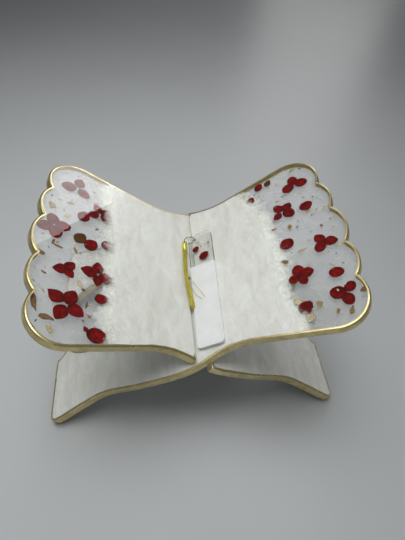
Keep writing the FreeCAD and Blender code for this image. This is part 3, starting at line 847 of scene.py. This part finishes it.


# Scraps of leaf: (along, across towards the back, length, width, turn, tint).
SCRAPS = {
    "right": [
        (92, -74, 7, 6, 40, 0.95), (118, 26, 5, 2, 30, 0.8), (125, 23, 4, 1.6, 60, 0.7),
        (131, 22, 4, 1.8, 40, 0.75), (99, 16, 4.5, 3.5, 70, 0.4), (86, 19, 3.5, 2, 10, 0.3),
        (105, 13, 3, 1.2, 50, 0.3), (102, -13, 6, 2, 5, 0.75), (110, -6, 3, 1.6, 0, 0.95),
        (86, -19, 5, 3.5, 150, 0.3), (101, -66, 5, 4, 140, 0.5), (87, -59, 5.5, 4, 150, 0.9),
        (117, 82, 5, 2.5, 20, 0.8), (104, -28, 4, 1, 45, 0.8), (120, -36, 4, 1, 130, 0.8),
        (131, -20, 5, 2, 150, 0.9), (134, -66, 5, 3, 20, 0.3), (121, -79, 5, 3, 70, 0.4),
        (112, -76, 4, 2, 70, 0.4), (135, 8, 4, 2, 160, 0.9), (132, -1, 3.5, 2, 20, 0.9),
        (96, 50, 3.5, 1.6, 160, 0.7), (108, 55, 2.5, 1.4, 20, 0.2), (120, 20, 2.6, 1.4, 60, 0.3),
        (75, 45, 4, 2.5, 40, 0.8), (69, 60, 4.5, 2.5, 30, 0.7), (66, 74, 3, 2, 10, 0.8),
    ],
    "left": [
        (122, -8, 7, 2.2, 20, 0.35), (126, -5, 6, 2.0, 110, 0.3), (109, -7, 6, 2, 70, 0.4),
        (134, -18, 8, 4, 30, 0.35), (132, -61, 12, 3.4, 80, 0.2), (123, -71, 9, 3.4, 10, 0.25),
        (120, -79, 6, 4, 40, 0.85), (103, -38, 5, 3.5, 60, 0.85), (131, 33, 6, 4, 50, 0.45),
        (118, 27, 6, 3, 130, 0.5), (117, 42, 5, 2.5, 150, 0.5), (95, 52, 4.5, 2, 160, 0.5),
        (98, 66, 3, 1.6, 20, 0.4), (108, 73, 4, 1.6, 20, 0.4), (129, -35, 3.4, 1.8, 20, 0.2),
        (97, -55, 5, 1.6, 100, 0.3), (94, -63, 3, 2, 20, 0.35), (124, 78, 3, 1.6, 10, 0.8),
        (100, -42, 3, 2, 10, 0.2), (93, 22, 3, 1.6, 150, 0.2), (80, 75, 4, 2, 10, 0.8),
    ],
}
SCRAP_GROWTH = 1.25
DUST_COUNT = 90
DUST_ALONG = (74, 138)
DUST_ACROSS = (-84, 84)
DUST_SIZES = (0.8, 2.6)
DUST_TINTS = (0.0, 0.2, 0.9, 1.0)
DUST_FROM_EDGE = 4 * MM
# Dust further in than this is mostly left out.
DUST_NEAR_RIM = 20 * MM
FAR_DUST_LEFT_OUT = 0.6
LEAF_LEVEL = 2.4 * MM


def add_scrap(mesh, layer, middle, length, width, turn, tint, level):
    """A creased scrap of leaf with a torn outline, as a thin closed shell."""
    seed = rng.uniform(0, 90)
    corners = 9 if length > 2 * MM else 5
    lean = Euler((rng.uniform(-0.35, 0.35), rng.uniform(-0.35, 0.35), turn)).to_matrix().to_4x4()
    at = Matrix.Translation((*middle, level)) @ lean
    rim = []
    for corner in range(corners):
        angle = 2 * math.pi * corner / corners
        torn = 1.0 + 0.55 * noise.noise(Vector((math.cos(angle) * 1.7, math.sin(angle) * 1.7, seed)))
        rim.append(Vector((math.cos(angle) * length / 2, math.sin(angle) * width / 2)) * torn)
    crease = min(width, 3 * MM) * 0.16
    for side in (1, -1):
        lift = 0.03 * MM * side
        rings = []
        for share in (0.0, 0.35, 0.7, 1.0):
            ring = []
            for point in rim:
                p = point * share
                fold = noise.noise(Vector((p.x / (1.6 * MM), p.y / (1.3 * MM), seed)))
                vert = mesh.verts.new(at @ Vector((p.x, p.y, fold * crease + lift * (1 - share))))
                vert[layer] = min(1.0, max(0.0, tint))
                ring.append(vert)
                if share == 0.0:
                    break
            rings.append(ring)
        hub, inner = rings[0][0], rings[1]
        for i in range(corners):
            j = (i + 1) % corners
            tip = (hub, inner[i], inner[j])
            mesh.faces.new(tip if side == 1 else tip[::-1])
            for low, high in zip(rings[1:], rings[2:]):
                quad = (low[i], high[i], high[j], low[j])
                mesh.faces.new(quad if side == 1 else quad[::-1])


def make_flakes(side):
    """All the leaf in one board: the placed scraps and fine dust strewn between them."""
    mesh = bmesh.new()
    layer = mesh.verts.layers.float.new("tint")
    for along, across, length, width, turn, tint in SCRAPS[side]:
        place = Vector((along, across * BACK[side])) * MM
        level = rng.uniform(0.1, 1.0) * LEAF_LEVEL
        add_scrap(mesh, layer, place, length * SCRAP_GROWTH * MM, width * SCRAP_GROWTH * MM,
                  math.radians(turn) * BACK[side], tint, level)
    strewn = 0
    while strewn < DUST_COUNT:
        along, across = rng.uniform(*DUST_ALONG) * MM, rng.uniform(*DUST_ACROSS) * MM
        clear = min((p - Vector((along, across))).length for p in EDGE)
        if clear < DUST_FROM_EDGE or not inside_edge(along, across):
            continue
        if clear > DUST_NEAR_RIM and rng.random() < FAR_DUST_LEFT_OUT:
            continue
        size = rng.uniform(*DUST_SIZES) * MM
        add_scrap(mesh, layer, Vector((along, across)), size, size * rng.uniform(0.4, 0.8),
                  rng.uniform(0, math.pi), rng.choice(DUST_TINTS),
                  rng.uniform(-LEAF_LEVEL, LEAF_LEVEL))
        strewn += 1
    bmesh.ops.remove_doubles(mesh, verts=mesh.verts, dist=0.002 * MM)
    piece = add_piece(side + "_leaf", mesh, LEAF, BOARD[side], BODY_OF[side],
                      [side + "_gold_flakes"])
    smooth(piece)


def inside_edge(along, across):
    """Whether a point lies inside the board's edge, by counting crossings along its row."""
    crossings = 0
    for a, b in zip(EDGE, EDGE[1:]):
        if (a.y > across) != (b.y > across):
            if a.x + (b.x - a.x) * (across - a.y) / (b.y - a.y) > along:
                crossings += 1
    return crossings % 2 == 1


for side in BACK:
    make_board(side)
    make_lace(side)
    make_haze(side)
    make_flowers(side)
    make_flakes(side)

# ---------------------------------------------------------------------------------------------
# The bookmark and its tassel
# ---------------------------------------------------------------------------------------------

CLEARANCE = 0.3 * MM
BOOKMARK_LENGTH = 118 * MM
BOOKMARK_LIFT = 1.3 * MM
BOOKMARK_AT = Vector((14.9, -14.0)) * MM
BOOKMARK_TURN = math.radians(-2.0)
BOOKMARK_THICK = 3.0 * MM
BOOKMARK_ROUND = 0.55 * MM
BOOKMARK = (BOARD["right"]
            @ Matrix.Translation((*BOOKMARK_AT, HALF + CLEARANCE + BOOKMARK_LIFT / 2))
            @ Matrix.Rotation(BOOKMARK_TURN, 4, "Z")
            @ Matrix.Rotation(math.atan2(BOOKMARK_LIFT, BOOKMARK_LENGTH), 4, "X"))


def rounded_copy(node, name, material, matrix, radius):
    """The CAD node's shape with its arrises rounded as polished resin is."""
    mesh = node_mesh(node, matrix)
    bmesh.ops.dissolve_limit(mesh, angle_limit=math.radians(0.5), verts=mesh.verts,
                             edges=mesh.edges)
    sharp = [e for e in mesh.edges if len(e.link_faces) == 2 and e.calc_face_angle() > 0.9]
    bmesh.ops.bevel(mesh, geom=sharp, offset=radius, segments=3, profile=0.5, affect="EDGES",
                    clamp_overlap=True)
    shade(add_piece(name, mesh, material, matrix, "bookmark", [node]))


def node_middle(node, matrix):
    """The middle of a CAD node's box in other coordinates."""
    mesh = node_mesh(node, matrix)
    spans = [(min(v.co[axis] for v in mesh.verts), max(v.co[axis] for v in mesh.verts))
             for axis in range(3)]
    mesh.free()
    return Vector([(low + high) / 2 for low, high in spans])


BOOKMARK_PETALS = [(7.0, 0.1, 40), (10.0, 0.35, 25)]
BOOKMARK_SCRAPS = [
    (-3.5, 52, 2.6, 2.0, 20, 0.8), (-1.5, 48.5, 3.2, 1.6, 60, 0.6), (-4.5, 45, 2.2, 1.6, 10, 0.9),
    (0.5, 43, 2.0, 1.2, 80, 0.2), (4.5, 44, 3.0, 1.0, 10, 0.4), (8.0, 44.5, 2.6, 2.2, 50, 0.3),
    (8.2, 41, 2.0, 1.2, 100, 0.6), (6.5, 33, 2.4, 1.0, 30, 0.6), (-7, 38, 2.0, 0.8, 70, 0.9),
    (2.5, 39, 1.6, 0.8, 20, 0.8), (-2.5, 31, 1.4, 1.0, 60, 0.2),
]


def make_bookmark():
    rounded_copy("bookmark_white_board", "bookmark_white", WHITE, BOOKMARK,
                 BOOKMARK_ROUND)
    rounded_copy("bookmark_clear_end", "bookmark_clear", CLEAR, BOOKMARK,
                 BOOKMARK_ROUND)
    for number, (length, point, turn) in enumerate(BOOKMARK_PETALS, start=1):
        node = "bookmark_petal_%d" % number
        middle = node_middle(node, BOOKMARK)
        mesh = bmesh.new()
        layer = mesh.verts.layers.float_color.new("petal")
        add_petal(mesh, layer, middle.xy, math.radians(turn), length * MM, point, 0,
                  BOOKMARK_THICK / 2 - 0.2 * MM)
        piece = add_piece("bookmark_pressed_%d" % number, mesh, PETAL, BOOKMARK, "bookmark",
                          [node])
        smooth(piece)
    mesh = bmesh.new()
    layer = mesh.verts.layers.float.new("tint")
    for x, y, length, width, turn, tint in BOOKMARK_SCRAPS:
        add_scrap(mesh, layer, Vector((x, y)) * MM, length * MM, width * MM, math.radians(turn),
                  tint, rng.uniform(0.7, 2.0) * MM)
    add_piece("bookmark_leaf", mesh, LEAF, BOOKMARK, "bookmark",
              ["bookmark_gold_flakes"])


TASSEL_ALONG = 8.3 * MM
CAP_RADIUS = 2.3 * MM
CAP_WRAPS = 9
CAP_ROWS = 54
CAP_SIDES = 32
CAP_END = 0.12
SKIRT_TOP = 2.7 * MM
THREADS = 90
THREAD_RADIUS = 0.17 * MM
THREAD_BOW = 3.0 * MM
THREAD_POINTS = 9
THREAD_TURN = 2.39996
THREAD_ENDS = (0.82, 0.93)
SHORT_THREAD_ENDS = (0.68, 0.85)
SHORT_THREAD_EVERY = 9


def make_cap():
    """The cap is bound with thread: shallow turns run round it, and both of its ends are rounded."""
    low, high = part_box("tassel_cap")
    mesh = bmesh.new()
    level = HALF + CLEARANCE + SKIRT_TOP
    rows = []
    for row in range(CAP_ROWS + 1):
        share = row / CAP_ROWS
        across = high.y + (low.y - high.y) * share
        from_end = min(1.0, min(share, 1 - share) / CAP_END)
        ends = math.sqrt(1 - (1 - from_end) ** 2)
        ring = []
        for side in range(CAP_SIDES):
            angle = 2 * math.pi * side / CAP_SIDES
            groove = 0.5 + 0.5 * math.cos(2 * math.pi * CAP_WRAPS * share + angle)
            dent = noise.noise(Vector((math.cos(angle), math.sin(angle), share * 4)))
            radius = (CAP_RADIUS - 0.22 * MM * groove ** 2 + 0.1 * MM * dent) * (0.35 + 0.65 * ends)
            ring.append(mesh.verts.new((TASSEL_ALONG + radius * math.cos(angle), -across,
                                        level + radius * math.sin(angle))))
        rows.append(ring)
    for a, b in zip(rows, rows[1:]):
        for i in range(CAP_SIDES):
            j = (i + 1) % CAP_SIDES
            mesh.faces.new((a[i], a[j], b[j], b[i]))
    mesh.faces.new(rows[0])
    mesh.faces.new(rows[-1][::-1])
    piece = add_piece("tassel_bound_cap", mesh, CAP, BOARD["left"], "bookmark",
                      ["tassel_cap"])
    shade(piece, 60.0)


def strand(curve, points):
    """One thread of the tassel, as a smooth spline with these control points."""
    spline = curve.splines.new("NURBS")
    spline.points.add(len(points) - 1)
    for made, point in zip(spline.points, points):
        made.co = (*point, 1.0)
    spline.order_u = 3
    spline.use_endpoint_u = True


def thread_line(number, high, low):
    """One thread's points in the left board's coordinates, from the cap to its free end."""
    floor_level = HALF + CLEARANCE + THREAD_RADIUS
    angle = number * THREAD_TURN
    reach = math.sqrt((number + 0.5) / THREADS)
    out, up = math.cos(angle) * reach, math.sin(angle) * reach
    end = rng.uniform(*(THREAD_ENDS if number % SHORT_THREAD_EVERY else SHORT_THREAD_ENDS))
    fray = rng.uniform(-1.0, 1.0)
    wander = rng.uniform(0, 60)
    points = []
    for step in range(THREAD_POINTS):
        share = step / (THREAD_POINTS - 1) * end
        across = high.y + 1.0 * MM + (low.y - high.y - 1.0 * MM) * share
        waist = 2.3 * MM - 0.5 * MM * math.sin(math.pi * min(1.0, share * 1.3))
        bow = THREAD_BOW * (math.sin(math.pi * min(1.0, share * 1.15)) - share)
        sway = 0.35 * MM * noise.noise(Vector((share * 4.0, wander, 0.0)))
        flare = fray * 1.7 * MM * max(0.0, share - 0.72) / 0.28
        along = TASSEL_ALONG + bow + out * waist + sway * (share > 0) + flare
        settled = 1.0 - 0.35 * share
        level = HALF + CLEARANCE + SKIRT_TOP * settled + up * waist * settled
        points.append((along, -across, max(floor_level, level)))
    return points


def make_threads():
    """The tassel's threads lie on the left wing in one bundle, bowed a little, frayed at the end."""
    low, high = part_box("tassel_threads")
    curve = bpy.data.curves.new("tassel_strands", "CURVE")
    curve.dimensions = "3D"
    curve.bevel_depth = THREAD_RADIUS
    curve.bevel_resolution = 1
    curve.resolution_u = 3
    curve.use_fill_caps = True
    for number in range(THREADS):
        strand(curve, thread_line(number, high, low))
    over = BOARD["left"].inverted() @ BOARD["right"]
    for points in LOOSE_STRANDS:
        strand(curve, [over @ (Vector(p) * MM) for p in points])
    piece = bpy.data.objects.new("tassel_strands", curve)
    piece.matrix_world = BOARD["left"]
    bpy.context.scene.collection.objects.link(piece)
    curve.materials.append(THREAD)
    settle(piece, "bookmark", ["tassel_threads"])


# Two stray threads lie over the bookmark, in the right board's coordinates.
LOOSE_STRANDS = [
    [(-1.0, 6, 11.0), (1.5, 0, 10.4), (4.0, -6, 9.6), (7.5, -14, 9.0), (11.0, -21, 9.0),
     (14.5, -28, 9.0)],
    [(-1.0, 2, 11.0), (1.0, -5, 10.4), (2.6, -12, 9.6), (4.6, -19, 9.0), (7.6, -25, 9.0),
     (11.2, -29, 9.0)],
]

make_bookmark()
make_cap()
make_threads()
for node, material in (("bookmark_ring", WIRE), ("tassel_loop", THREAD)):
    kept = frame["nodes"][node]
    kept.data.materials.clear()
    kept.data.materials.append(material)

# ---------------------------------------------------------------------------------------------
# Floor and light
# ---------------------------------------------------------------------------------------------

FLOOR_HALF = 3.0
WORLD_GREY = 0.13
LAMPS = [
    # Name, place, the point it faces, width, height, watts, how far the light spreads in degrees,
    # whether it lights surfaces, and whether it shows in gloss. Overhead are two
    # lamps, one for shading and one for gloss.
    ("overhead", (-0.16, 0.20, 0.95), (-0.02, -0.06, 0.0), 0.72, 0.72, 2.1, 92, True, False),
    ("overhead_gloss", (-0.16, -0.05, 0.95), (-0.02, 0.0, 0.0), 0.72, 0.72, 2.1, 92, False, True),
    ("window", (0.84, 1.939, 1.041), (-0.1, 0.05, 0.13), 0.67, 1.36, 1.35, 60, True, True),
    ("front_fill", (-0.5, -1.4, 0.34), (0.0, 0.0, 0.05), 0.9, 0.5, 0.6, 180, True, True),
]


def make_floor():
    mesh = bmesh.new()
    corners = [(-1, -1), (1, -1), (1, 1), (-1, 1)]
    mesh.faces.new([mesh.verts.new((x * FLOOR_HALF, y * FLOOR_HALF, 0.0)) for x, y in corners])
    data = bpy.data.meshes.new("floor")
    mesh.to_mesh(data)
    mesh.free()
    data.materials.append(polished_floor())
    floor = bpy.data.objects.new("floor", data)
    bpy.context.scene.collection.objects.link(floor)


def make_light():
    """Soft lamps. Their light already passes through the clear resin as if it weren't there, so
    they aren't seen a second time by rays that the resin bends."""
    for name, place, aim, width, height, watts, spread, lights, gleams in LAMPS:
        data = bpy.data.lights.new(name, "AREA")
        data.shape = "RECTANGLE"
        data.size = width
        data.size_y = height
        data.energy = watts
        data.spread = math.radians(spread)
        lamp = bpy.data.objects.new(name, data)
        lamp.location = place
        lamp.rotation_euler = (Vector(aim) - Vector(place)).to_track_quat("-Z", "Y").to_euler()
        lamp.visible_transmission = False
        lamp.visible_diffuse = lights
        lamp.visible_glossy = gleams
        bpy.context.scene.collection.objects.link(lamp)
    world = bpy.data.worlds.new("studio")
    world.use_nodes = True
    world.node_tree.nodes["Background"].inputs["Color"].default_value = (1, 1, 1, 1)
    world.node_tree.nodes["Background"].inputs["Strength"].default_value = WORLD_GREY
    bpy.context.scene.world = world


make_floor()
make_light()
bpy.context.scene.view_settings.view_transform = "Standard"
